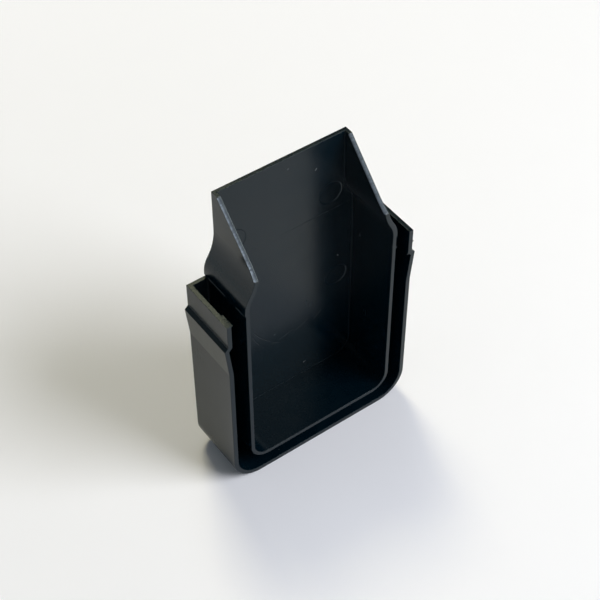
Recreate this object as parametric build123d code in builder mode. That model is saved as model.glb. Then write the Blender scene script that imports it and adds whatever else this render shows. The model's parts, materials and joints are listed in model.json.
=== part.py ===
from build123d import *
from math import radians, sqrt, tan
import os

# End cap of a surface-water drainage channel: one plastic moulding.
# A flat end plate carries an outer trough and, inside it, a hood with a narrow neck.
# The end of the channel slides into the groove between the two.
# X is the width, Y runs from the open front (-Y) to the end plate (+Y), Z is up.
# The origin is on the floor under the middle of the cap. All sizes are in millimetres.

# Overall sizes
trough_width = 80.0
cap_depth = 25.0
rim_height = 88.0
overall_height = 125.0

# Walls
trough_wall = 1.8
liner_wall = 1.5
neck_wall = 1.4
end_plate = 1.6
groove_width = 6.0

# Bottom corners, outside faces
trough_corner = 12.0
liner_corner = 8.0

# Snap ledge that jogs both trough walls outward below the rim
ledge_drop = 10.2
ledge_projection = 1.4
ledge_slope = 45.0
ledge_taper_length = 13.0

# Parting line just above the rim, where the hood steps out from its liner
parting_rise = 0.8
parting_step = 0.35

# Ogee shoulder from the wide hood to the neck
neck_width = 55.4
shoulder_rise = 1.5
shoulder_lower_radius = 11.0
shoulder_upper_radius = 20.5

# Slanting cut of the neck's side walls, from the flat top down to the open front
neck_flat = 3.6
slant_foot_rise = 12.4

# Ejector pin marks on the inside of the end plate, set in from the walls beside them
pin_mark_diameter = 10.0
pin_mark_depth = 0.15
pin_mark_slope = 25.0
pin_inset = 7.1
upper_pin_drop = 26.0
lower_pin_height = 55.5

# Moulding radii
root_radius = 0.1
edge_radius = 0.15

# Places that follow from the sizes above
back_y = cap_depth / 2
front_y = -cap_depth / 2
trough_half = trough_width / 2
liner_half = trough_half - trough_wall - groove_width
liner_base = trough_wall + groove_width
cavity_half = liner_half - liner_wall
cavity_floor = liner_base + liner_wall
hood_half = liner_half + parting_step
neck_half = neck_width / 2
parting_height = rim_height + parting_rise
shoulder_foot = parting_height + shoulder_rise
slant_foot = shoulder_foot + slant_foot_rise
slant_rise = overall_height - slant_foot
slant_run = cap_depth - neck_flat
upper_pins = (neck_half - pin_inset, overall_height - upper_pin_drop)
lower_pins = (cavity_half - pin_inset, lower_pin_height)
back_plane = Plane.XZ.offset(-back_y)
front_plane = Plane.XZ.offset(-front_y)
plate_inside = Plane.XZ.offset(end_plate - back_y)
slant_plane = Plane((0, front_y, slant_foot), x_dir=(1, 0, 0), z_dir=(0, -slant_rise, slant_run))


def trough_side(inset):
    """Draw one half of the trough's outline, a given distance inside its outer face."""
    side = trough_half - inset
    corner = trough_corner - inset
    ledge_top = rim_height - ledge_drop - inset * tan(radians(ledge_slope / 2))
    ledge_tip = ledge_top - ledge_projection * tan(radians(ledge_slope))
    ledge_foot = ledge_tip - ledge_taper_length
    Line((0, inset), (side - corner, inset))
    CenterArc((side - corner, inset + corner), corner, -90, 90)
    Polyline(
        (side, inset + corner),
        (side, ledge_foot),
        (side + ledge_projection, ledge_tip),
        (side, ledge_top),
        (side, rim_height),
        (0, rim_height),
    )


def shoulder(foot_half, inset):
    """Draw the ogee from a given half width, and the neck above it. Return the ogee's foot."""
    lower_radius = shoulder_lower_radius - inset
    upper_radius = shoulder_upper_radius + inset
    head_half = neck_half - inset
    reach = foot_half - head_half
    radius_sum = lower_radius + upper_radius
    rise = sqrt(2 * reach * radius_sum - reach**2)
    foot = Vector(foot_half, shoulder_foot)
    head = Vector(head_half, shoulder_foot + rise)
    middle = foot + (head - foot) * (lower_radius / radius_sum)
    TangentArc(foot, middle, tangent=(0, 1))
    TangentArc(head, middle, tangent=(0, -1))
    Polyline(head, (head_half, overall_height), (0, overall_height))
    return foot


def hood_outside():
    """Draw one half of the hood's outer outline, with the step at the parting line."""
    Line((0, liner_base), (liner_half - liner_corner, liner_base))
    CenterArc((liner_half - liner_corner, liner_base + liner_corner), liner_corner, -90, 90)
    Polyline(
        (liner_half, liner_base + liner_corner),
        (liner_half, parting_height),
        (hood_half, parting_height),
        shoulder(hood_half, 0),
    )


def hood_inside():
    """Draw one half of the cavity's outline."""
    corner = liner_corner - liner_wall
    Line((0, cavity_floor), (cavity_half - corner, cavity_floor))
    CenterArc((cavity_half - corner, cavity_floor + corner), corner, -90, 90)
    Line((cavity_half, cavity_floor + corner), shoulder(cavity_half, neck_wall))


with BuildPart() as end_cap:
    # Solid block with the outline of the trough and of the hood
    with BuildSketch(back_plane):
        with BuildLine():
            trough_side(0)
            mirror(about=Plane.YZ)
        make_face()
        with BuildLine():
            hood_outside()
            mirror(about=Plane.YZ)
        make_face()
    extrude(amount=cap_depth)

    # Groove between the trough and the hood, open to the front and at the rim
    with BuildSketch(front_plane):
        with BuildLine():
            trough_side(trough_wall)
            mirror(about=Plane.YZ)
        make_face()
        with BuildLine():
            hood_outside()
            mirror(about=Plane.YZ)
        make_face(mode=Mode.SUBTRACT)
    extrude(amount=end_plate - cap_depth, mode=Mode.SUBTRACT)

    # Cavity of the hood, open to the front and at the top
    with BuildSketch(front_plane):
        with BuildLine():
            hood_inside()
            mirror(about=Plane.YZ)
        make_face()
    extrude(amount=end_plate - cap_depth, mode=Mode.SUBTRACT)
    floor_edges = edges(Select.LAST).filter_by(Axis.X).group_by(Axis.Z)[0]
    fillet(floor_edges.sort_by(Axis.Y)[-1], root_radius)

    # Slanting cut across both side walls of the neck
    split(bisect_by=slant_plane, keep=Keep.BOTTOM)

    # Shallow round marks left by the ejector pins, with a sloping edge
    with BuildSketch(plate_inside):
        with Locations(upper_pins, lower_pins):
            Circle(pin_mark_diameter / 2)
        mirror(about=Plane.YZ)
    extrude(amount=-pin_mark_depth, taper=90 - pin_mark_slope, mode=Mode.SUBTRACT)

    # Softened edges of the open front, the rim, the neck's top and slants, and the ledge tips
    front_faces = faces().filter_by(Axis.Y).group_by(Axis.Y)[0]
    level_faces = faces().filter_by(Axis.Z)
    rims = level_faces.filter_by_position(Axis.Z, rim_height, rim_height)
    neck_top = level_faces.sort_by(Axis.Z)[-1:]
    slants = faces().filter_by(slant_plane)
    exposed = front_faces + rims + neck_top + slants
    depth_edges = edges().filter_by(Axis.Y).sort_by(Axis.X)
    ledge_tips = depth_edges[:1] + depth_edges[-1:]
    rim_edges = depth_edges.filter_by_position(Axis.Z, rim_height, rim_height)
    rim_roots = rim_edges.filter_by_position(Axis.X, -liner_half, liner_half)
    fillet(exposed.edges() + ledge_tips - rim_roots, edge_radius)

end_cap.part.label = "end_cap"
os.makedirs("parts", exist_ok=True)
export_step(end_cap.part, "parts/end_cap.step")
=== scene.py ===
"""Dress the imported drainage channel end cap: sawn neck, moulding flash, finish, light and camera."""

import json
import logging
import math
from dataclasses import dataclass, field
from enum import Enum
from typing import Any, Sequence

import bpy
from mathutils import Matrix, Vector, noise

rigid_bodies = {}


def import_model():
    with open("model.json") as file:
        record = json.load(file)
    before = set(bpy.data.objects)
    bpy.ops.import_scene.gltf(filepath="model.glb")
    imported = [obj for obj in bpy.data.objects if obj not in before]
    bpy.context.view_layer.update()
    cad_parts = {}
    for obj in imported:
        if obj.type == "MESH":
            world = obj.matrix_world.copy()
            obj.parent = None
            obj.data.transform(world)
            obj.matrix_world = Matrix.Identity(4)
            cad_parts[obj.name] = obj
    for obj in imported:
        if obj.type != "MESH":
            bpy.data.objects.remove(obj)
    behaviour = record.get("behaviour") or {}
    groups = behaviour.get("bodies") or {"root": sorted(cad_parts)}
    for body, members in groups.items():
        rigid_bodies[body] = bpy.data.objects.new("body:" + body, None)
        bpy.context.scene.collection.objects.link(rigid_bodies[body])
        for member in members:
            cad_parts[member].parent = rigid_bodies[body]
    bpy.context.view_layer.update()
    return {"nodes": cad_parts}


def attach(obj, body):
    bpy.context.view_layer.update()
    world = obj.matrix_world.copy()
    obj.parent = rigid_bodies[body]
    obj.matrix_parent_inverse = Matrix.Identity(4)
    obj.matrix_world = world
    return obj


MM = 0.001
NODE = "end_cap"
BODY = "root"
# Name of the attribute with the sawn skin's paleness, which also carries painted shade on the right
# cut.
TONE = "tone"
# Most values of a noise texture lie between these two.
NOISE_LOW, NOISE_HIGH = 0.3, 0.7

Colour = tuple[float, float, float]
Point = tuple[float, float, float]
Span = tuple[float, float]

log = logging.getLogger("end_cap")


class Side(Enum):
    """Left and right half of the cap, as the sign of X."""

    LEFT = -1
    RIGHT = 1


class Graph:
    """A node tree, with short calls that place nodes and join them."""

    def __init__(self, tree: bpy.types.NodeTree) -> None:
        """Keep the tree that the calls work on."""
        self.tree = tree

    def feed(self, socket: bpy.types.NodeSocket, value: Any) -> None:
        """Join an output socket to an input, or write a plain value into it.

        Args:
            socket: the input to fill.
            value: an output socket, or a number, vector or colour.
        """
        if isinstance(value, bpy.types.NodeSocket):
            self.tree.links.new(value, socket)
        else:
            socket.default_value = value

    def add(
        self, kind: str, inputs: dict[Any, Any] | None = None, **settings: Any
    ) -> bpy.types.Node:
        """Place a node.

        Args:
            kind: the node's type, without its ShaderNode prefix.
            inputs: what goes into its inputs, by name or number.
            settings: the node's own properties.

        Returns:
            The new node.
        """
        node = self.tree.nodes.new("ShaderNode" + kind)
        for name, value in settings.items():
            setattr(node, name, value)
        for key, value in (inputs or {}).items():
            self.feed(node.inputs[key], value)
        return node

    def math(
        self, operation: str, first: Any, second: Any = 0.0, clamp: bool = False
    ) -> bpy.types.NodeSocket:
        """Place a Math node.

        Args:
            operation: its operation.
            first: its first value or socket.
            second: its second value or socket.
            clamp: whether the result is held between 0 and 1.

        Returns:
            The result's socket.
        """
        node = self.add("Math", {0: first, 1: second}, operation=operation, use_clamp=clamp)
        return node.outputs[0]

    def scale(self, value: Any, factor: float) -> bpy.types.NodeSocket:
        """Return the socket of a value times a factor."""
        return self.math("MULTIPLY", value, factor)

    def ramp(
        self, value: Any, low: float, high: float, to_low: float = 0.0, to_high: float = 1.0
    ) -> bpy.types.NodeSocket:
        """Place a clamped Map Range node.

        Args:
            value: what is mapped.
            low: value that gives to_low.
            high: value that gives to_high.
            to_low: result at the low end.
            to_high: result at the high end.

        Returns:
            The result's socket.
        """
        inputs = {"Value": value, 1: low, 2: high, 3: to_low, 4: to_high}
        return self.add("MapRange", inputs, clamp=True).outputs[0]

    def around(self, value: Any, middle: float, spread: float) -> bpy.types.NodeSocket:
        """Let a number vary with a noise.

        Args:
            value: the noise.
            middle: the number's mean.
            spread: how far it goes to either side.

        Returns:
            The number's socket.
        """
        return self.ramp(value, NOISE_LOW, NOISE_HIGH, middle - spread, middle + spread)

    def blend(self, factor: Any, first: Any, second: Any) -> bpy.types.NodeSocket:
        """Mix two colours.

        Args:
            factor: share of the second colour.
            first: the colour at 0.
            second: the colour at 1.

        Returns:
            The mixed colour's socket.
        """
        node = self.add("Mix", {0: factor, 6: first, 7: second}, data_type="RGBA")
        return node.outputs[2]

    def total(self, *values: Any) -> bpy.types.NodeSocket:
        """Add several values up.

        Args:
            values: the sockets or numbers to add.

        Returns:
            The sum's socket.
        """
        result = values[0]
        for value in values[1:]:
            result = self.math("ADD", result, value)
        return result

    def noise(
        self, where: Any, scale: Any, detail: float = 2.0, roughness: float = 0.5
    ) -> bpy.types.NodeSocket:
        """Place a noise texture.

        Args:
            where: its coordinates.
            scale: features per metre.
            detail: its octaves.
            roughness: how much the fine octaves weigh.

        Returns:
            The socket of its value, from 0 to 1.
        """
        inputs = {"Vector": where, "Scale": scale, "Detail": detail, "Roughness": roughness}
        return self.add("TexNoise", inputs).outputs["Fac"]

    def vector(self, operation: str, first: Any, second: Any) -> bpy.types.NodeSocket:
        """Place a Vector Math node.

        Args:
            operation: its operation.
            first: its first vector.
            second: its second vector.

        Returns:
            The socket of the result: a vector for SUBTRACT, and else a number.
        """
        node = self.add("VectorMath", {0: first, 1: second}, operation=operation)
        return node.outputs["Vector" if operation == "SUBTRACT" else "Value"]

    def place(self) -> bpy.types.NodeSocket:
        """Return the socket of the place on the cap, in metres in the cap's own frame."""
        return self.add("TexCoord").outputs["Object"]


def opaque(colour: Colour, gain: float = 1.0) -> tuple[float, float, float, float]:
    """Return a colour times a gain, with full alpha."""
    red, green, blue = colour
    return (gain * red, gain * green, gain * blue, 1.0)


def new_material(name: str) -> tuple[bpy.types.Material, Graph, bpy.types.Node]:
    """Start a node material.

    Args:
        name: its name.

    Returns:
        The material, its tree and its Principled shader.
    """
    material = bpy.data.materials.new(name)
    material.use_nodes = True
    return material, Graph(material.node_tree), material.node_tree.nodes["Principled BSDF"]


class Effect:
    """A surface effect that materials share: a node group, built once."""

    name: str = ""
    takes: tuple[tuple[str, str, Any], ...] = ()
    gives: tuple[tuple[str, str], ...] = ()

    def tree(self) -> bpy.types.NodeTree:
        """Find the effect's node group, or build it on first use.

        Returns:
            The group.
        """
        found = bpy.data.node_groups.get(self.name)
        if found:
            return found
        tree = bpy.data.node_groups.new(self.name, "ShaderNodeTree")
        for label, kind, value in self.takes:
            entry = tree.interface.new_socket(label, in_out="INPUT", socket_type="NodeSocket" + kind)
            entry.default_value = value
        for label, kind in self.gives:
            tree.interface.new_socket(label, in_out="OUTPUT", socket_type="NodeSocket" + kind)
        graph = Graph(tree)
        source = tree.nodes.new("NodeGroupInput")
        target = tree.nodes.new("NodeGroupOutput")
        for label, socket in self.wire(graph, source.outputs).items():
            graph.feed(target.inputs[label], socket)
        return tree

    def wire(self, graph: Graph, given: Any) -> dict[str, bpy.types.NodeSocket]:
        """Build the effect inside its group.

        Args:
            graph: the group's tree.
            given: the sockets of the group's inputs, by name.

        Returns:
            The socket for each output, by name.
        """
        raise NotImplementedError

    def use(self, graph: Graph, **values: Any) -> Any:
        """Place the effect in a material.

        Args:
            graph: the material's tree.
            values: what goes into the group's inputs, with _ for a space.

        Returns:
            The placed group's outputs.
        """
        node = graph.add("Group", node_tree=self.tree())
        for label, value in values.items():
            graph.feed(node.inputs[label.replace("_", " ")], value)
        return node.outputs


class Grain(Effect):
    """Skin of the plastic: fine grain, the mould's upright polishing lines, and slow clouds."""

    name = "mould_grain"
    line_stretch: float = 0.03
    cloud_scale: float = 70.0
    takes = (("Fine Scale", "Float", 1500.0), ("Line Scale", "Float", 900.0))
    gives = (("Fine", "Float"), ("Lines", "Float"), ("Clouds", "Float"))

    def wire(self, graph: Graph, given: Any) -> dict[str, bpy.types.NodeSocket]:
        """Build the grain, as Effect.wire says."""
        where = graph.place()
        stretched = graph.add("Mapping", {"Vector": where, "Scale": (1.0, 1.0, self.line_stretch)})
        return {
            "Fine": graph.noise(where, given["Fine Scale"], detail=3.0, roughness=0.6),
            "Lines": graph.noise(stretched.outputs[0], given["Line Scale"], roughness=0.6),
            "Clouds": graph.noise(where, self.cloud_scale, detail=3.0, roughness=0.55),
        }


class EdgeWear(Effect):
    """Broken mask of the outward edges that handling has rubbed, and mask of the inward corners."""

    name = "edge_wear"
    takes = (("Radius", "Float", 0.0003), ("Breaks", "Float", 700.0))
    gives = (("Mask", "Float"), ("Corners", "Float"))
    bevel_samples: int = 6
    sky_samples: int = 8
    sky_reach: float = 4.0
    edge_range: Span = (0.995, 0.86)
    outward_range: Span = (0.85, 0.98)
    corner_range: Span = (0.95, 0.75)
    break_range: Span = (0.42, 0.62)

    def wire(self, graph: Graph, given: Any) -> dict[str, bpy.types.NodeSocket]:
        """Build the wear, as Effect.wire says."""
        soft = graph.add("Bevel", {"Radius": given["Radius"]}, samples=self.bevel_samples).outputs[0]
        flat = graph.add("NewGeometry").outputs["Normal"]
        edge = graph.ramp(graph.vector("DOT_PRODUCT", soft, flat), *self.edge_range)
        reach = graph.scale(given["Radius"], self.sky_reach)
        sky = graph.add(
            "AmbientOcclusion", {"Distance": reach}, samples=self.sky_samples, only_local=True
        ).outputs["AO"]
        outward = graph.ramp(sky, *self.outward_range)
        breaks = graph.noise(graph.place(), given["Breaks"], detail=3.0, roughness=0.6)
        broken = graph.ramp(breaks, *self.break_range)
        return {
            "Mask": graph.math("MULTIPLY", graph.math("MULTIPLY", edge, outward), broken),
            "Corners": graph.ramp(sky, *self.corner_range),
        }


class Dust(Effect):
    """Dust: a film on faces that look up, and single specks."""

    name = "dust"
    takes = (("Speck Scale", "Float", 450.0), ("Speck Share", "Float", 0.05))
    gives = (("Film", "Float"), ("Specks", "Float"))
    patch_scale: float = 260.0
    patch_range: Span = (0.35, 0.75)
    upward_range: Span = (0.25, 0.95)
    speck_sizes: Span = (0.03, 0.1)

    def wire(self, graph: Graph, given: Any) -> dict[str, bpy.types.NodeSocket]:
        """Build the dust, as Effect.wire says."""
        where = graph.place()
        normal = graph.add("NewGeometry").outputs["Normal"]
        upward = graph.add("SeparateXYZ", {0: normal}).outputs["Z"]
        patches = graph.noise(where, self.patch_scale, detail=4.0, roughness=0.65)
        patchy = graph.ramp(patches, *self.patch_range)
        film = graph.math("MULTIPLY", graph.ramp(upward, *self.upward_range), patchy)
        inputs = {"Vector": where, "Scale": given["Speck Scale"], "Randomness": 1.0}
        cells = graph.add("TexVoronoi", inputs)
        draw = graph.add("SeparateColor", {0: cells.outputs["Color"]})
        picked = graph.math("LESS_THAN", draw.outputs[0], given["Speck Share"])
        size = graph.ramp(draw.outputs[1], 0.0, 1.0, *self.speck_sizes)
        inside = graph.math("LESS_THAN", cells.outputs["Distance"], size)
        return {"Film": film, "Specks": graph.math("MULTIPLY", picked, inside)}


class Scratch(Effect):
    """One short straight scratch between two points."""

    name = "scratch"
    takes = (
        ("Start", "Vector", (0.0, 0.0, 0.0)),
        ("End", "Vector", (0.0, 0.0, 0.001)),
        ("Width", "Float", 0.0001),
    )
    gives = (("Mask", "Float"),)

    def wire(self, graph: Graph, given: Any) -> dict[str, bpy.types.NodeSocket]:
        """Build the scratch, as Effect.wire says."""
        where = graph.place()
        line = graph.vector("SUBTRACT", given["End"], given["Start"])
        away = graph.vector("SUBTRACT", where, given["Start"])
        along = graph.vector("DOT_PRODUCT", away, line)
        share = graph.math("DIVIDE", along, graph.vector("DOT_PRODUCT", line, line), clamp=True)
        on_line = graph.add("VectorMath", {0: line, "Scale": share}, operation="SCALE").outputs[0]
        off = graph.math("DIVIDE", graph.vector("DISTANCE", away, on_line), given["Width"])
        return {"Mask": graph.math("SUBTRACT", 1.0, off, clamp=True)}


@dataclass(frozen=True)
class Mark:
    """A straight stroke on the end plate's inside: its ends as X and Z, and half its width, in mm."""

    start: Span
    end: Span
    width: float

    def place(self, graph: Graph, plate: float) -> bpy.types.NodeSocket:
        """Place the stroke in a material.

        Args:
            graph: the material's tree.
            plate: how far back the end plate's inside is, in mm.

        Returns:
            The socket of its mask.
        """
        ends = [(x * MM, plate * MM, z * MM) for x, z in (self.start, self.end)]
        return Scratch().use(graph, Start=ends[0], End=ends[1], Width=self.width * MM)["Mask"]


@dataclass(frozen=True)
class MouldedFinish:
    """Black moulded plastic with a satin skin."""

    name: str = "moulded_black"
    colour: Colour = (0.0001, 0.0045, 0.0086)
    cloud_spread: float = 0.2
    dust_colour: Colour = (0.17, 0.17, 0.165)
    worn_colour: Colour = (0.032, 0.036, 0.04)
    scratch_colour: Colour = (0.234, 0.24, 0.245)
    worn_share: float = 0.5
    film_share: float = 0.0015
    speck_share: float = 0.3
    rub_share: float = 0.1
    roughness: float = 0.24
    cloud_roughness: float = 0.03
    line_roughness: float = 0.01
    line_range: Span = (0.35, 0.65)
    worn_roughness: float = 0.08
    corner_roughness: float = 0.35
    scratch_roughness: float = 0.2
    film_roughness: float = 0.1
    grain_height: float = 0.012
    line_height: float = 0.006
    scratch_height: float = -0.3
    rub_height: float = -0.6
    specular: float = 0.266
    gloss_tint: Colour = (0.9, 1.0, 1.0)
    edge_radius: float = 0.15 * MM
    bump_depth: float = 0.1 * MM
    plate: float = 10.9
    marks: tuple[Mark, ...] = (
        Mark((13.6, 113.3), (14.3, 113.9), 0.16),
        Mark((2.0, 119.9), (2.3, 120.1), 0.16),
        Mark((24.1, 65.8), (24.5, 65.1), 0.17),
        Mark((23.0, 57.9), (23.2, 57.4), 0.17),
        Mark((8.6, 15.0), (9.3, 15.3), 0.22),
        Mark((-5.1, 40.0), (-4.7, 40.2), 0.12),
    )
    rubs: tuple[Mark, ...] = (
        Mark((-14.6, 49.9), (-14.2, 47.2), 0.18),
        Mark((-14.2, 47.2), (-12.2, 43.8), 0.2),
        Mark((-12.2, 43.8), (-10.6, 41.6), 0.2),
        Mark((-10.6, 41.6), (-8.1, 38.9), 0.2),
        Mark((-8.1, 38.9), (-6.8, 37.8), 0.18),
        Mark((-2.5, 36.0), (1.5, 37.1), 0.18),
        Mark((1.5, 37.1), (4.0, 37.8), 0.18),
        Mark((4.2, 36.3), (8.2, 37.7), 0.18),
        Mark((8.2, 37.7), (10.5, 39.4), 0.2),
        Mark((-15.0, 46.2), (-13.8, 42.6), 0.18),
        Mark((-13.8, 42.6), (-12.1, 39.2), 0.2),
        Mark((-5.8, 36.2), (-2.7, 34.3), 0.16),
        Mark((13.3, 37.2), (17.0, 40.5), 0.18),
    )

    def material(self) -> bpy.types.Material:
        """Build the finish.

        Returns:
            The material.
        """
        material, graph, shader = new_material(self.name)
        grain = Grain().use(graph, Fine_Scale=1500.0, Line_Scale=900.0)
        wear = EdgeWear().use(graph, Radius=self.edge_radius, Breaks=500.0)
        dust = Dust().use(graph, Speck_Scale=600.0, Speck_Share=0.1)
        scratched = graph.total(*(mark.place(graph, self.plate) for mark in self.marks))
        rubbed = self.rubs[0].place(graph, self.plate)
        for rub in self.rubs[1:]:
            rubbed = graph.math("MAXIMUM", rubbed, rub.place(graph, self.plate))
        deep = opaque(self.colour, 1.0 - self.cloud_spread)
        light = opaque(self.colour, 1.0 + self.cloud_spread)
        body = graph.blend(grain["Clouds"], deep, light)
        worn = graph.scale(wear["Mask"], self.worn_share)
        handled = graph.blend(worn, body, opaque(self.worn_colour))
        film = graph.scale(dust["Film"], self.film_share)
        specks = graph.scale(dust["Specks"], self.speck_share)
        dusted = graph.math("ADD", film, specks, clamp=True)
        soiled = graph.blend(dusted, handled, opaque(self.dust_colour))
        bare = graph.math("ADD", scratched, graph.scale(rubbed, self.rub_share), clamp=True)
        colour = graph.blend(bare, soiled, opaque(self.scratch_colour))
        graph.feed(shader.inputs["Base Color"], colour)
        rough = graph.total(
            graph.around(grain["Clouds"], self.roughness, self.cloud_roughness),
            graph.ramp(grain["Lines"], *self.line_range, -self.line_roughness, self.line_roughness),
            graph.scale(wear["Mask"], self.worn_roughness),
            graph.scale(wear["Corners"], self.corner_roughness),
            graph.scale(scratched, self.scratch_roughness),
            graph.scale(dust["Film"], self.film_roughness),
        )
        graph.feed(shader.inputs["Roughness"], rough)
        height = graph.total(
            graph.scale(grain["Fine"], self.grain_height),
            graph.scale(grain["Lines"], self.line_height),
            graph.scale(scratched, self.scratch_height),
            graph.scale(rubbed, self.rub_height),
        )
        bump = graph.add("Bump", {"Strength": 1.0, "Distance": self.bump_depth, "Height": height})
        graph.feed(shader.inputs["Normal"], bump.outputs[0])
        shader.inputs["Specular IOR Level"].default_value = self.specular
        shader.inputs["Specular Tint"].default_value = opaque(self.gloss_tint)
        return material


@dataclass(frozen=True)
class SawnFinish:
    """The same plastic where a saw has torn it: pale, dull and streaked across the cut."""

    name: str = "sawn_black"
    dark: Colour = (0.013, 0.019, 0.027)
    pale: Colour = (0.215, 0.25, 0.295)
    tooth_scale: float = 1800.0
    tooth_squeeze: float = 0.25
    tooth_spread: float = 0.6
    tear_scale: float = 650.0
    tear_range: Span = (0.3, 0.72)
    tear_tones: Span = (0.5, 1.5)
    worn_tone: float = 0.2
    speck_tone: float = 0.3
    edge_radius: float = 0.12 * MM
    roughness: Span = (0.53, 0.75)
    specular: float = 0.16
    tooth_height: float = 0.5
    grain_height: float = 0.25
    bump_depth: float = 0.1 * MM

    def material(self) -> bpy.types.Material:
        """Build the finish.

        Returns:
            The material.
        """
        material, graph, shader = new_material(self.name)
        where = graph.place()
        grain = Grain().use(graph, Fine_Scale=3500.0, Line_Scale=2000.0)
        wear = EdgeWear().use(graph, Radius=self.edge_radius, Breaks=900.0)
        dust = Dust().use(graph, Speck_Scale=900.0, Speck_Share=0.2)
        across = graph.add("Mapping", {"Vector": where, "Scale": (self.tooth_squeeze, 1.0, 1.0)})
        teeth = graph.noise(across.outputs[0], self.tooth_scale, roughness=0.6)
        tears = graph.noise(where, self.tear_scale, detail=4.0, roughness=0.7)
        torn = graph.ramp(tears, *self.tear_range)
        # Tone attribute: the skin's paleness, held lower on the right cut as painted shade.
        paleness = graph.add("Attribute", attribute_name=TONE).outputs["Fac"]
        mottled = graph.math(
            "MULTIPLY",
            graph.ramp(torn, 0.0, 1.0, *self.tear_tones),
            graph.around(teeth, 1.0, self.tooth_spread),
        )
        tone = graph.total(
            graph.math("MULTIPLY", paleness, mottled),
            graph.scale(wear["Mask"], self.worn_tone),
            graph.scale(dust["Specks"], self.speck_tone),
        )
        colour = graph.blend(graph.ramp(tone, 0.0, 1.0), opaque(self.dark), opaque(self.pale))
        graph.feed(shader.inputs["Base Color"], colour)
        graph.feed(shader.inputs["Roughness"], graph.ramp(torn, 0.0, 1.0, *self.roughness))
        height = graph.total(
            graph.scale(teeth, self.tooth_height),
            graph.scale(grain["Fine"], self.grain_height),
        )
        bump = graph.add("Bump", {"Strength": 1.0, "Distance": self.bump_depth, "Height": height})
        graph.feed(shader.inputs["Normal"], bump.outputs[0])
        shader.inputs["Specular IOR Level"].default_value = self.specular
        return material


@dataclass(frozen=True)
class FloorFinish:
    """Pale matt studio floor, barely mottled, that turns to plain white away from the cap.

    The reaches are distances from the cap in metres: the floor is as lit within the first, and
    white beyond the second.
    """

    name: str = "studio_floor"
    colour: Colour = (0.91, 0.905, 0.955)
    mottle_scale: float = 40.0
    mottle_gain: float = 0.985
    roughness: float = 0.75
    roughness_spread: float = 0.05
    specular: float = 0.1
    lit_reach: float = 0.1
    white_reach: float = 0.6

    def material(self) -> bpy.types.Material:
        """Build the finish.

        Returns:
            The material.
        """
        material, graph, shader = new_material(self.name)
        where = graph.place()
        mottle = graph.noise(where, self.mottle_scale, detail=3.0)
        colour = graph.blend(mottle, opaque(self.colour), opaque(self.colour, self.mottle_gain))
        rough = graph.around(mottle, self.roughness, self.roughness_spread)
        graph.feed(shader.inputs["Base Color"], colour)
        graph.feed(shader.inputs["Roughness"], rough)
        shader.inputs["Specular IOR Level"].default_value = self.specular
        path = graph.add("LightPath").outputs
        seen = graph.total(path["Is Camera Ray"], path["Is Glossy Ray"], path["Is Transmission Ray"])
        away = graph.add("VectorMath", {0: where}, operation="LENGTH").outputs["Value"]
        far = graph.ramp(away, self.lit_reach, self.white_reach)
        share = graph.math("MULTIPLY", seen, far, clamp=True)
        white = graph.add("Emission", {"Color": opaque((1.0, 1.0, 1.0)), "Strength": 1.0})
        mixed = graph.add("MixShader", {0: share, 1: shader.outputs[0], 2: white.outputs[0]})
        output = material.node_tree.nodes["Material Output"]
        graph.feed(output.inputs["Surface"], mixed.outputs[0])
        return material


def add_piece(
    name: str,
    points: Sequence[Point],
    faces: Sequence[Sequence[int]],
    finish: bpy.types.Material,
    tone: Sequence[float] = (),
    smooth: bool = True,
) -> bpy.types.Object:
    """Make a mesh that rides on the cap.

    Args:
        name: the piece's name.
        points: its corners, in mm in the cap's frame.
        faces: its faces, as numbers of corners.
        finish: its material.
        tone: a value for each corner that the material reads, if it needs one.
        smooth: whether it is shaded smooth.

    Returns:
        The new object.
    """
    mesh = bpy.data.meshes.new(name)
    mesh.from_pydata([tuple(c * MM for c in p) for p in points], [], faces)
    if tone:
        mesh.attributes.new(TONE, "FLOAT", "POINT").data.foreach_set("value", tone)
    mesh.validate()
    if smooth:
        mesh.shade_smooth()
    mesh.materials.append(finish)
    piece = bpy.data.objects.new(name, mesh)
    bpy.context.scene.collection.objects.link(piece)
    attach(piece, BODY)
    log.info("%s: %d faces", name, len(mesh.polygons))
    return piece


def closed_sweep(rings: Sequence[Sequence[Point]]) -> tuple[list[Point], list[list[int]]]:
    """Join equal rings of points into a closed tube with flat ends.

    Args:
        rings: the sections in order, each with the same number of points.

    Returns:
        The points and the faces.
    """
    count = len(rings[0])
    points = [p for ring in rings for p in ring]
    faces = []
    for row in range(len(rings) - 1):
        for k in range(count):
            near, far = row * count, (row + 1) * count
            faces.append([near + k, near + (k + 1) % count, far + (k + 1) % count, far + k])
    faces.append(list(range(count))[::-1])
    faces.append([(len(rings) - 1) * count + k for k in range(count)])
    return points, faces


def wobble(value: float, seed: float) -> float:
    """Return smooth noise from about -1 to 1 along a line, for a given seed."""
    return noise.noise(Vector((value, seed, 0.37 * seed)))


@dataclass(frozen=True)
class Wave:
    """Smooth random waves along a line: how far they go, how close they come, and their seed."""

    size: float
    pitch: float
    seed: float

    def at(self, place: float, shift: float = 0.0) -> float:
        """Return the waves at a place, with the seed shifted."""
        return self.size * wobble(self.pitch * place, self.seed + shift)


@dataclass
class CapBody:
    """The moulding itself: the CAD node, dressed."""

    node: bpy.types.Object

    def dress(self, finish: bpy.types.Material) -> None:
        """Give the node its finish.

        Args:
            finish: the moulded plastic.
        """
        for slot in self.node.material_slots:
            slot.material = finish
        log.info("%s: dressed with %s", self.node.name, finish.name)


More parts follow.
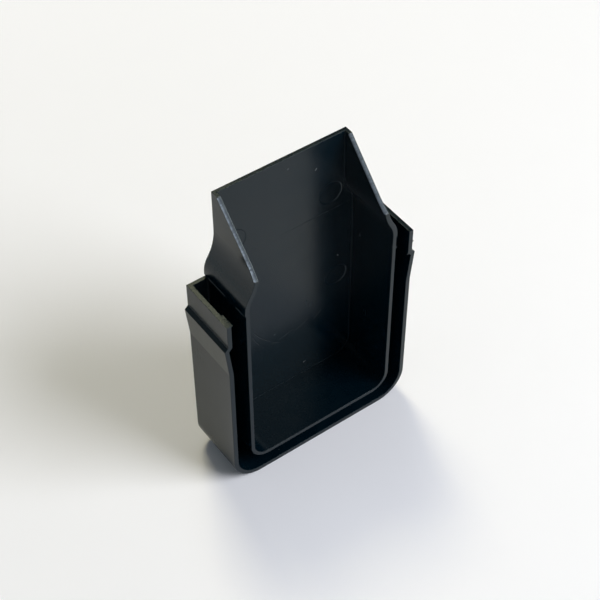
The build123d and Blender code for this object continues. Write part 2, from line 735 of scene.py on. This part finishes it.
@dataclass
class SawnNeck:
    """Sawn ends of the neck's side walls: torn skin, and a burr along the outer edge. Sizes in mm.

    Foot and head are the ends of the cut as Y and Z. Margins are how far the skin stays inside the
    wall's inner and outer edge. Tones are its paleness across the wall, at the places given; the
    right wall's are lower as painted shade on that cut.
    """

    neck_half: float = 27.7
    wall: float = 1.4
    lean: float = -0.3
    head_outside: float = 107.08
    head_inside: float = 106.53
    radius_outside: float = 20.5
    radius_inside: float = 21.9
    foot: Span = (-12.5, 102.7)
    head: Span = (8.9, 125.0)
    end_gap: float = 0.25
    step: float = 0.1
    columns: int = 14
    depth: float = 0.35
    skin: float = 0.05
    skin_mean: float = 0.6
    tooth_lift: float = 0.45
    tooth_pitch: Span = (2.6, 0.5)
    tear_lift: float = 0.5
    tear_pitch: Span = (1.9, 2.4)
    tear_shape: tuple[float, float, int] = (0.9, 2.1, 4)
    burr: float = 0.07
    burr_start: float = 0.78
    burr_mean: float = 0.6
    burr_wave: Wave = Wave(0.5, 1.3, 7.0)
    seed: float = 5.0
    seed_step: float = 3.0
    top_drop: float = 0.5
    end_round: float = 0.7
    end_share: float = 0.98
    end_tone: float = 0.25
    inner_wave: Wave = Wave(0.04, 2.2, 21.0)
    outer_waves: tuple[Wave, ...] = (Wave(0.06, 1.7, 11.0), Wave(0.05, 5.3, 14.0))
    margins: dict[Side, Span] = field(
        default_factory=lambda: {Side.LEFT: (0.16, 0.07), Side.RIGHT: (0.0, 0.07)}
    )
    margin_run: float = 12.0
    # The right wall's tones sit below the left's as painted shade on that cut, though both cuts face
    # the same way.
    tones_and_shade: dict[Side, tuple[float, ...]] = field(
        default_factory=lambda: {
            Side.LEFT: (0.1, 0.19, 0.25, 0.4, 0.62, 0.8, 0.75),
            Side.RIGHT: (0.08, 0.15, 0.22, 0.26, 0.3, 0.35, 0.35),
        }
    )
    tone_places: tuple[float, ...] = (0.0, 0.15, 0.3, 0.5, 0.7, 0.85, 1.0)

    def edge(self, height: float, radius: float, start: float, half: float) -> float:
        """Return how far out a face of the side wall is at a height.

        Args:
            height: the height.
            radius: radius of the shoulder's upper arc on that face.
            start: height where the arc ends and the straight neck starts.
            half: half width of the neck on that face.

        Returns:
            The distance from the middle plane.
        """
        below = max(0.0, start - height)
        return half + radius - math.sqrt(radius**2 - below**2)

    def tip(self, along: float) -> float:
        """Return how far a place along the cut is into its rounded lower end, from 0 to 1."""
        return max(0.0, 1.0 - (along - self.end_gap) / self.end_round)

    def span(self, along: float, height: float, side: Side) -> Span:
        """Return where the torn skin starts and ends across the wall.

        Args:
            along: place along the cut.
            height: height of that place.
            side: which wall.

        Returns:
            The distances of its inner and outer edge from the middle plane.
        """
        inner_half = self.neck_half - self.wall
        inside = self.edge(height, self.radius_inside, self.head_inside, inner_half)
        outside = self.edge(height, self.radius_outside, self.head_outside, self.neck_half)
        inner, outer = self.margins[side]
        inside += inner + self.inner_wave.at(along, side.value)
        ragged = sum(wave.at(along, side.value) for wave in self.outer_waves)
        outside += ragged - outer * min(1.0, along / self.margin_run)
        full = math.sqrt(1.0 - self.end_share * self.tip(along) ** 2)
        narrow = (outside - inside) / 2 * (1.0 - full)
        return inside + narrow, outside - narrow

    def paleness(self, across: float, side: Side) -> float:
        """Return how pale the torn skin is; the right wall's values also hold painted shade.

        Args:
            across: share of the wall, from 0 inside to 1 outside.
            side: which wall.

        Returns:
            The paleness, from 0 to 1.
        """
        values = self.tones_and_shade[side]
        for k in range(1, len(values)):
            near, far = self.tone_places[k - 1], self.tone_places[k]
            if across <= far:
                share = (across - near) / (far - near)
                return values[k - 1] + (values[k] - values[k - 1]) * share
        return values[-1]

    def lift(self, along: float, across: float, side: Side) -> float:
        """Return how far the torn skin stands above the cut plane.

        Args:
            along: place along the cut.
            across: share of the wall, from 0 inside to 1 outside.
            side: which wall.

        Returns:
            The lift.
        """
        shift = self.seed_step * side.value
        seed = self.seed + shift
        run, skew = self.tooth_pitch
        teeth = wobble(run * along + skew * across, seed)
        length, breadth = self.tear_pitch
        torn = noise.fractal(Vector((length * along, breadth * across, seed)), *self.tear_shape)
        skin = self.skin_mean + self.tooth_lift * teeth + self.tear_lift * torn
        lip = max(0.0, (across - self.burr_start) / (1.0 - self.burr_start)) ** 2
        ragged = self.burr_mean + self.burr_wave.at(along, shift)
        return self.skin * skin + self.burr * lip * ragged

    def build(self, side: Side, finish: bpy.types.Material) -> bpy.types.Object:
        """Build one sawn end.

        Args:
            side: which wall.
            finish: the sawn plastic.

        Returns:
            The new piece.
        """
        start, end = Vector((0.0, *self.foot)), Vector((0.0, *self.head))
        run = (end - start).normalized()
        normal = Vector((0.0, -run.z, run.y))
        length = (end - start).length
        rows = round((length - 2 * self.end_gap) / self.step)
        rings, tones_and_shade = [], []
        for row in range(rows + 1):
            along = self.end_gap + (length - 2 * self.end_gap) * row / rows
            middle = start + run * along
            inside, outside = self.span(along, middle.z, side)
            drop = -self.depth / 2 * max(0.0, 1.0 - (length - along) / self.top_drop) ** 2
            ring, tone = [], []
            for column in range(self.columns + 1):
                across = column / self.columns
                tone.append(self.paleness(across, side) + self.end_tone * self.tip(along))
                out = inside + (outside - inside) * across
                place = middle + normal * (self.lift(along, across, side) + drop)
                ring.append((side.value * out + self.lean, place.y, place.z))
            for out in (outside, inside):
                place = middle - normal * self.depth
                ring.append((side.value * out + self.lean, place.y, place.z))
                tone.append(0.0)
            rings.append(ring if side is Side.RIGHT else ring[::-1])
            tones_and_shade.extend(tone if side is Side.RIGHT else tone[::-1])
        points, faces = closed_sweep(rings)
        return add_piece(f"sawn_end_{side.name.lower()}", points, faces, finish, tones_and_shade)


@dataclass(frozen=True)
class Sliver:
    """A thread of flash: its ends and its section in mm, its taper, and its roll in degrees."""

    name: str
    root: Point
    tip: Point
    width: float
    thickness: float
    taper: float = 0.95
    roll: float = 0.0


@dataclass
class MouldFlash:
    """Thin flash left on the edges where the halves of the mould met."""

    slivers: tuple[Sliver, ...] = (
        Sliver("flash_liner_right_in", (31.0, -12.35, 84.9), (30.3, -12.4, 85.4), 0.7, 0.16, 0.5),
        Sliver("flash_liner_right_out", (31.9, -12.35, 83.9), (32.8, -12.4, 83.5), 0.8, 0.16, 0.3),
        Sliver("flash_clip_right_in", (38.6, -12.2, 76.8), (37.8, -12.3, 76.4), 0.8, 0.3),
        Sliver("flash_clip_right_out", (39.7, -12.3, 82.4), (40.4, -12.35, 82.1), 0.8, 0.2, 0.5),
        Sliver("flash_rim_left", (-38.3, -6.5, 87.85), (-37.5, -6.3, 87.9), 1.2, 0.2),
        Sliver("flash_rim_left_lip", (-38.0, -6.3, 87.85), (-38.0, -12.4, 87.85), 0.9, 0.25, 0.1),
        Sliver(
            "flash_parting_back", (-32.55, 9.9, 88.9), (-32.55, -0.5, 88.9), 0.34, 0.12, 0.2, 60.0
        ),
        Sliver(
            "flash_parting_front", (-32.55, -6.9, 88.9), (-32.55, -11.9, 88.9), 0.34, 0.12, 0.2, 60.0
        ),
    )
    unevenness: Wave = Wave(0.25, 6.0, 0.0)
    seed_ratio: float = 9.0
    taper_power: float = 0.7
    rows: int = 10
    section: tuple[Span, ...] = (
        (1.0, 0.6),
        (0.8, 1.0),
        (-0.8, 1.0),
        (-1.0, 0.6),
        (-1.0, -0.6),
        (-0.8, -1.0),
        (0.8, -1.0),
        (1.0, -0.6),
    )

    def build(self, sliver: Sliver, finish: bpy.types.Material) -> bpy.types.Object:
        """Build one sliver as a tapering, flattened thread.

        Args:
            sliver: its facts.
            finish: the plastic.

        Returns:
            The new piece.
        """
        root, tip = Vector(sliver.root), Vector(sliver.tip)
        run = (tip - root).normalized()
        beside = Vector((0.0, 1.0, 0.0)) if abs(run.y) < 0.9 else Vector((0.0, 0.0, 1.0))
        flat = run.cross(beside).normalized()
        flat = Matrix.Rotation(math.radians(sliver.roll), 3, run) @ flat
        thick = run.cross(flat)
        rings = []
        for row in range(self.rows + 1):
            share = row / self.rows
            taper = (1.0 - share) ** self.taper_power * sliver.taper + 1.0 - sliver.taper
            middle = root.lerp(tip, share)
            uneven = 1.0 + self.unevenness.at(share, self.seed_ratio * sliver.width)
            ring = []
            for wide, high in self.section:
                reach = flat * wide * sliver.width / 2 + thick * high * sliver.thickness / 2
                ring.append(tuple(middle + reach * taper * uneven))
            rings.append(ring)
        points, faces = closed_sweep(rings)
        return add_piece(sliver.name, points, faces, finish, smooth=False)


@dataclass
class Witness:
    """Fine raised line inside the hood, where two blocks of the mould met. Sizes in mm."""

    height: float = 90.5
    half: float = 30.7
    front: float = -12.2
    plate: float = 10.9
    root: float = 0.1
    step: float = 0.1
    fade: float = 1.2
    rise: float = 0.016
    rise_mean: float = 0.8
    sunk: float = 0.05
    side_points: int = 24
    corner_points: int = 5
    back_points: int = 61
    drift_wave: Wave = Wave(0.12, 0.23, 31.0)
    rise_wave: Wave = Wave(0.4, 0.7, 33.0)

    def path(self) -> list[tuple[Vector, Vector]]:
        """Lay out the line along the left wall, the end plate and the right wall.

        Returns:
            Its points, each with the direction away from the plastic there.
        """
        side, back = self.half - self.root, self.plate - self.root
        left = []
        for k in range(self.side_points):
            y = self.front + (back - self.front) * k / (self.side_points - 1)
            left.append((Vector((-self.half, y, self.height)), Vector((1.0, 0.0, 0.0))))
        centre = Vector((-side, back, self.height))
        for k in range(1, self.corner_points + 1):
            angle = math.pi / 2 * k / (self.corner_points + 1)
            away = Vector((math.cos(angle), -math.sin(angle), 0.0))
            left.append((centre - away * self.root, away))
        middle = []
        for k in range(self.back_points):
            x = -side + 2 * side * k / (self.back_points - 1)
            middle.append((Vector((x, self.plate, self.height)), Vector((0.0, -1.0, 0.0))))
        flip = Vector((-1.0, 1.0, 1.0))
        right = [(place * flip, away * flip) for place, away in reversed(left)]
        return left + middle + right

    def build(self, finish: bpy.types.Material) -> bpy.types.Object:
        """Build the line as one bead round the inside.

        Args:
            finish: the plastic.

        Returns:
            The new piece.
        """
        rings = []
        for k, (place, away) in enumerate(self.path()):
            drift = self.drift_wave.at(k)
            rise = self.rise * (self.rise_mean + self.rise_wave.at(k))
            profile = ((0.0, -self.sunk), (self.step, rise), (self.fade, -self.sunk))
            ring = []
            for up, out in profile:
                point = place + away * out
                ring.append((point.x, point.y, point.z + drift + up))
            rings.append(ring)
        points, faces = closed_sweep(rings)
        return add_piece("witness_line", points, faces, finish)


@dataclass
class Lamp:
    """A soft square light: its place, target and size in metres, its power and its colour."""

    name: str
    place: Point
    size: float
    power: float
    colour: Colour
    target: Point = (0.0, 0.0, 0.05)

    def build(self) -> bpy.types.Object:
        """Build the light.

        Returns:
            The new object.
        """
        data = bpy.data.lights.new(self.name, "AREA")
        data.shape = "SQUARE"
        data.size = self.size
        data.energy = self.power
        data.color = self.colour
        lamp = bpy.data.objects.new(self.name, data)
        lamp.location = self.place
        lamp.rotation_mode = "QUATERNION"
        facing = Vector(self.target) - Vector(self.place)
        lamp.rotation_quaternion = facing.to_track_quat("-Z", "Y")
        bpy.context.scene.collection.objects.link(lamp)
        return lamp


@dataclass
class Studio:
    """Floor, soft lights, backdrop and the camera that stands where the photograph was taken."""

    camera_place: Point = (-0.2096, -0.2890, 0.4523)
    azimuth: float = -35.84
    elevation: float = 47.27
    roll: float = -0.155
    lens: float = 87.64
    sensor: float = 36.0
    clip: Span = (0.01, 50.0)
    floor_half: float = 6.0
    lamps: tuple[Lamp, ...] = field(
        default_factory=lambda: (
            Lamp("key_front", (0.711, -0.944, 0.973), 0.9, 22.3, (0.96, 0.98, 1.0)),
            Lamp("top_back", (0.229, 0.566, 1.198), 0.4, 1.7, (0.9, 0.96, 1.0)),
            Lamp("rim_back", (0.188, 0.702, 1.128), 0.3, 5.6, (1.0, 0.91, 0.58)),
            Lamp("top", (0.131, 0.0, 1.544), 0.9, 1.4, (1.0, 1.0, 1.0)),
            Lamp("top_left", (-0.792, 0.111, 1.436), 1.0, 0.94, (0.95, 0.98, 1.0)),
        )
    )
    horizon: float = 1.13
    sky: float = 0.028
    horizon_band: Span = (0.05, 0.4)
    backdrop_colour: Colour = (0.82, 0.96, 1.0)

    def build_floor(self) -> bpy.types.Object:
        """Build the floor, just under the cap.

        Returns:
            The floor.
        """
        mesh = bpy.data.meshes.new("floor")
        half = self.floor_half
        corners = [(-half, -half, 0.0), (half, -half, 0.0), (half, half, 0.0), (-half, half, 0.0)]
        mesh.from_pydata(corners, [], [(0, 1, 2, 3)])
        mesh.materials.append(FloorFinish().material())
        floor = bpy.data.objects.new("floor", mesh)
        bpy.context.scene.collection.objects.link(floor)
        return floor

    def build_backdrop(self) -> None:
        """Light the surroundings: pale near the horizon, dimmer above."""
        world = bpy.data.worlds.new("studio")
        world.use_nodes = True
        graph = Graph(world.node_tree)
        backdrop = world.node_tree.nodes["Background"]
        facing = graph.add("TexCoord").outputs["Generated"]
        height = graph.add("SeparateXYZ", {0: facing}).outputs["Z"]
        strength = graph.ramp(height, *self.horizon_band, self.horizon, self.sky)
        graph.feed(backdrop.inputs["Strength"], strength)
        backdrop.inputs["Color"].default_value = opaque(self.backdrop_colour)
        bpy.context.scene.world = world

    def build_camera(self) -> bpy.types.Object:
        """Build the camera.

        Returns:
            The camera.
        """
        turn, rise = math.radians(self.azimuth), math.radians(self.elevation)
        level_back = Vector((math.sin(turn), -math.cos(turn), 0.0))
        back = level_back * math.cos(rise) + Vector((0.0, 0.0, math.sin(rise)))
        data = bpy.data.cameras.new("camera")
        data.lens = self.lens
        data.sensor_width = self.sensor
        data.clip_start, data.clip_end = self.clip
        camera = bpy.data.objects.new("camera", data)
        level = back.to_track_quat("Z", "Y").to_matrix().to_4x4()
        rolled = Matrix.Rotation(math.radians(self.roll), 4, back) @ level
        camera.matrix_world = Matrix.Translation(self.camera_place) @ rolled
        bpy.context.scene.collection.objects.link(camera)
        bpy.context.scene.camera = camera
        return camera

    def build(self) -> None:
        """Build the whole studio."""
        self.build_floor()
        self.build_backdrop()
        for lamp in self.lamps:
            lamp.build()
        self.build_camera()
        bpy.context.scene.view_settings.view_transform = "Standard"
        log.info("studio: %d lamps", len(self.lamps))


def clear_defaults() -> None:
    """Take away the objects that a new file starts with."""
    for thing in list(bpy.data.objects):
        bpy.data.objects.remove(thing)


def main() -> None:
    """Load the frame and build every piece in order."""
    logging.basicConfig(level=logging.INFO, format="%(name)s %(message)s")
    clear_defaults()
    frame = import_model()
    moulded = MouldedFinish().material()
    sawn = SawnFinish().material()
    CapBody(frame["nodes"][NODE]).dress(moulded)
    neck = SawnNeck()
    for side in Side:
        neck.build(side, sawn)
    flash = MouldFlash()
    for sliver in flash.slivers:
        flash.build(sliver, moulded)
    Witness().build(moulded)
    Studio().build()


if __name__ == "__main__":
    main()
